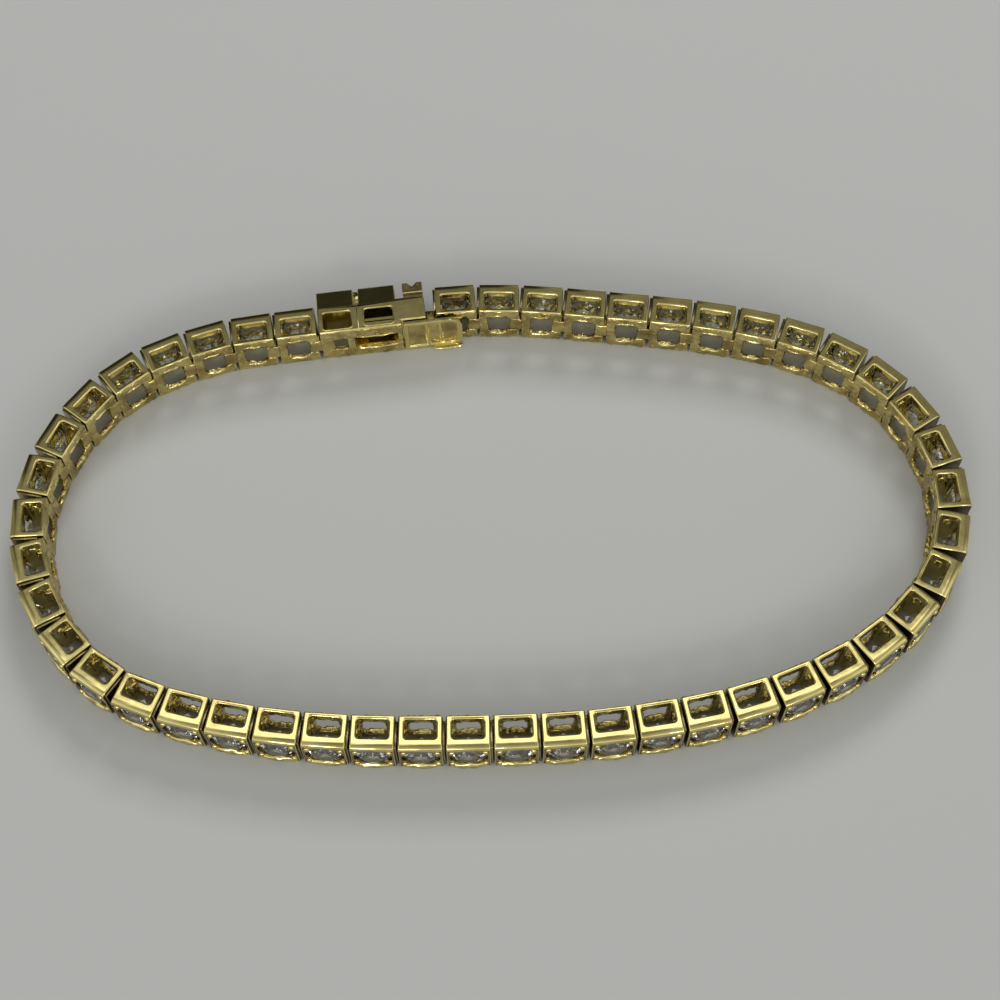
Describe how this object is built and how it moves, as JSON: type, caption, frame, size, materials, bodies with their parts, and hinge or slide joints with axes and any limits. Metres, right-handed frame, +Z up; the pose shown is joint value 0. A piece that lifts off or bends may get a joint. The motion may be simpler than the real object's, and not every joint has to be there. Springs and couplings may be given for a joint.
{
  "type": "tennis bracelet",
  "caption": "Flexible tennis bracelet of hinged open-box links, each holding a round cut stone, closed into a loop by a box clasp with a thumb tab.",
  "frame": {"origin": "on the resting surface, under the middle of the loop's outline", "axes": "+X along the loop's long way, to the right in the picture; +Y away from the camera, towards the clasp side; +Z up, across the bracelet's width, the way the wrist goes through"},
  "size_m": [0.077, 0.042, 0.0043],
  "materials": {
    "gold": "polished gold plate",
    "stone": "clear faceted stone"
  },
  "bodies": {
    "root": {"link_01": "gold", "link_02": "gold", "link_03": "gold", "link_04": "gold", "link_05": "gold", "link_06": "gold", "link_07": "gold", "link_08": "gold", "link_09": "gold", "link_10": "gold", "link_11": "gold", "link_12": "gold", "link_13": "gold", "link_14": "gold", "link_15": "gold", "link_16": "gold", "link_17": "gold", "link_18": "gold", "link_19": "gold", "link_20": "gold", "link_21": "gold", "link_22": "gold", "link_23": "gold", "link_24": "gold", "link_25": "gold", "link_26": "gold", "link_27": "gold", "link_28": "gold", "link_29": "gold", "link_30": "gold", "link_31": "gold", "link_32": "gold", "link_33": "gold", "link_34": "gold", "link_35": "gold", "link_36": "gold", "link_37": "gold", "link_38": "gold", "link_39": "gold", "link_40": "gold", "link_41": "gold", "link_42": "gold", "link_43": "gold", "link_44": "gold", "link_45": "gold", "link_46": "gold", "link_47": "gold", "clasp_box": "gold", "clasp_tongue": "gold"}
  },
  "joints": []
}
